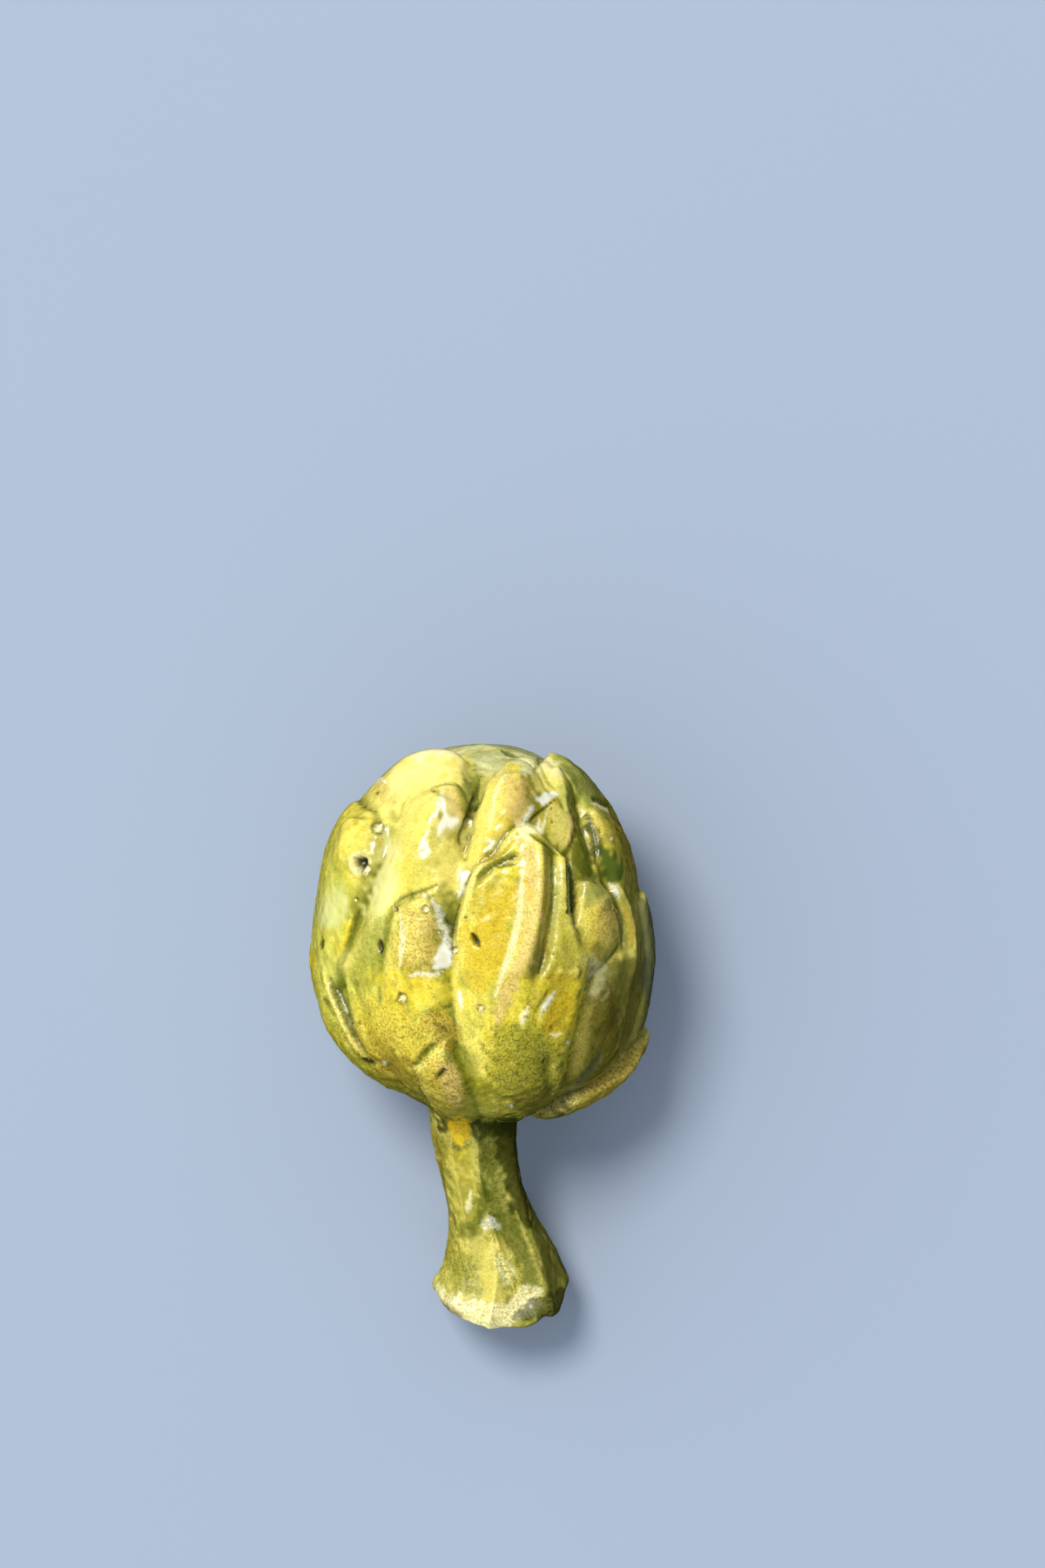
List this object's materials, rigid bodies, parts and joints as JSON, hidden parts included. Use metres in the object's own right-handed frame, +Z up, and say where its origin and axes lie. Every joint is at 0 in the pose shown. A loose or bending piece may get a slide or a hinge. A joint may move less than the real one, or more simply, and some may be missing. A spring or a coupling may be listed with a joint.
{
  "type": "glazed ceramic artichoke",
  "caption": "Life-size artichoke modelled in clay and glossy yellow-green glaze, lying on its side: thick overlapping bracts and a bent stem with a flared end. A table decoration.",
  "frame": {"origin": "centre of the footprint at the floor, with the part lying on its side", "axes": "+Y along the part's length on the floor, from the stem end towards the crown; +Z up; +X to the right seen from above with the crown away"},
  "size_m": [0.0875, 0.1486, 0.0918],
  "materials": {
    "glazed_ceramic": "glossy, mottled yellow-green glaze"
  },
  "bodies": {
    "root": {"artichoke": "glazed_ceramic"}
  },
  "joints": []
}
